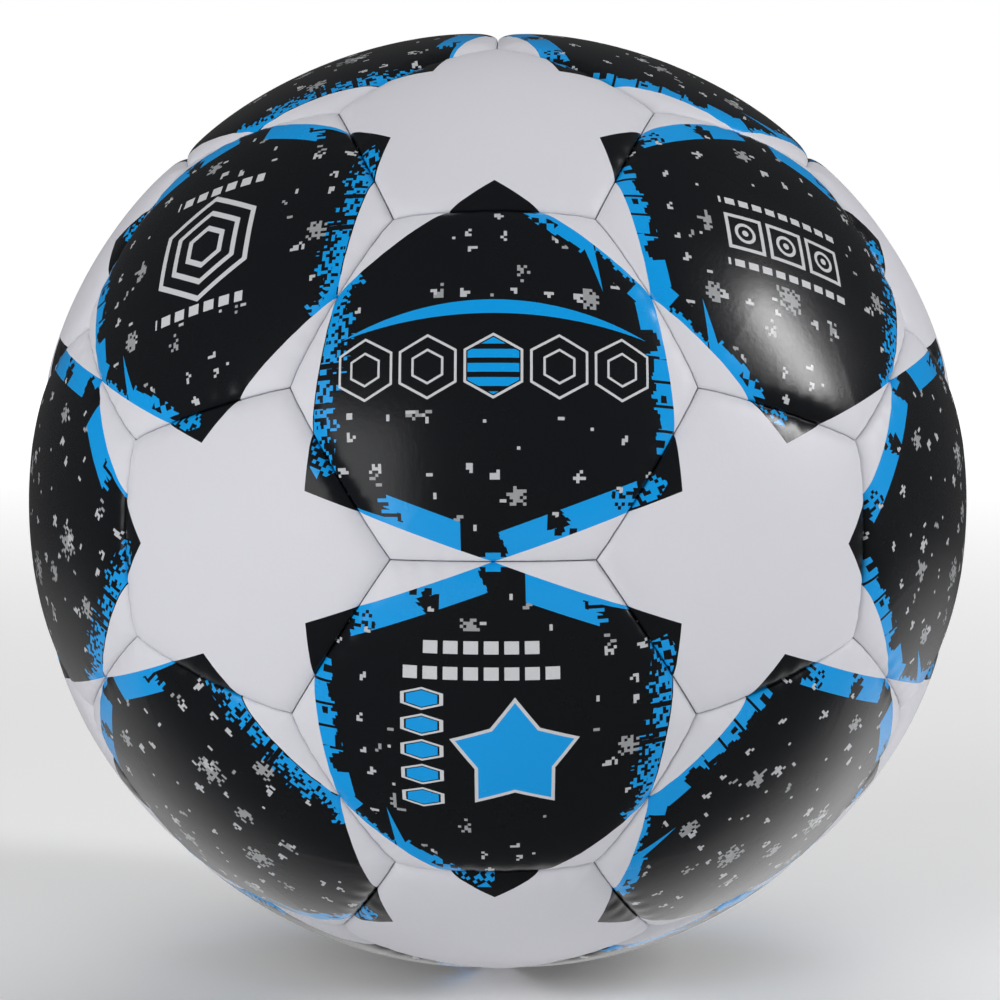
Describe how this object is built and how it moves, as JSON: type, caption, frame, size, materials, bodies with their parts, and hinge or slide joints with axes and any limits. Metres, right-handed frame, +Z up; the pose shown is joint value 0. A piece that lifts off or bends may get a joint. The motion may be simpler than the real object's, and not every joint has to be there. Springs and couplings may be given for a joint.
{
  "type": "football",
  "caption": "Stitched match football of hexagon and pentagon panels, with foam and woven linings, a bladder and a needle valve.",
  "frame": {"origin": "centre of the ball", "axes": "+Z up; the seam pattern's twofold axes lie along X, Y and Z, and the valve is in a hexagon on the +Y side, above the middle"},
  "size_m": [0.22, 0.22, 0.22],
  "materials": {
    "printed_cover": "satin white synthetic leather, screen printed in gloss black, bright blue and light grey",
    "foam_pad": "closed-cell foam",
    "woven_lining": "laminated cotton and polyester cloth",
    "seam_thread": "waxed polyester thread",
    "bladder_rubber": "matt moulded rubber",
    "patch_rubber": "matt rubber sheet",
    "valve_rubber": "soft moulded rubber"
  },
  "bodies": {
    "root": {"balance_patch": "patch_rubber", "bladder": "bladder_rubber", "hexagon_foam": "foam_pad", "hexagon_lining": "woven_lining", "hexagon_panel_01": "printed_cover", "hexagon_panel_02": "printed_cover", "hexagon_panel_03": "printed_cover", "hexagon_panel_04": "printed_cover", "hexagon_panel_05": "printed_cover", "hexagon_panel_06": "printed_cover", "hexagon_panel_07": "printed_cover", "hexagon_panel_08": "printed_cover", "hexagon_panel_09": "printed_cover", "hexagon_panel_10": "printed_cover", "hexagon_panel_11": "printed_cover", "hexagon_panel_12": "printed_cover", "hexagon_panel_13": "printed_cover", "hexagon_panel_14": "printed_cover", "hexagon_panel_15": "printed_cover", "hexagon_panel_16": "printed_cover", "hexagon_panel_17": "printed_cover", "hexagon_panel_18": "printed_cover", "hexagon_panel_19": "printed_cover", "hexagon_panel_20": "printed_cover", "hexagon_seam_thread": "seam_thread", "pentagon_foam": "foam_pad", "pentagon_lining": "woven_lining", "pentagon_panel_01": "printed_cover", "pentagon_panel_02": "printed_cover", "pentagon_panel_03": "printed_cover", "pentagon_panel_04": "printed_cover", "pentagon_panel_05": "printed_cover", "pentagon_panel_06": "printed_cover", "pentagon_panel_07": "printed_cover", "pentagon_panel_08": "printed_cover", "pentagon_panel_09": "printed_cover", "pentagon_panel_10": "printed_cover", "pentagon_panel_11": "printed_cover", "pentagon_panel_12": "printed_cover", "pentagon_seam_thread": "seam_thread", "valve_housing": "valve_rubber", "valve_patch": "patch_rubber", "valve_plug": "valve_rubber"}
  },
  "joints": []
}
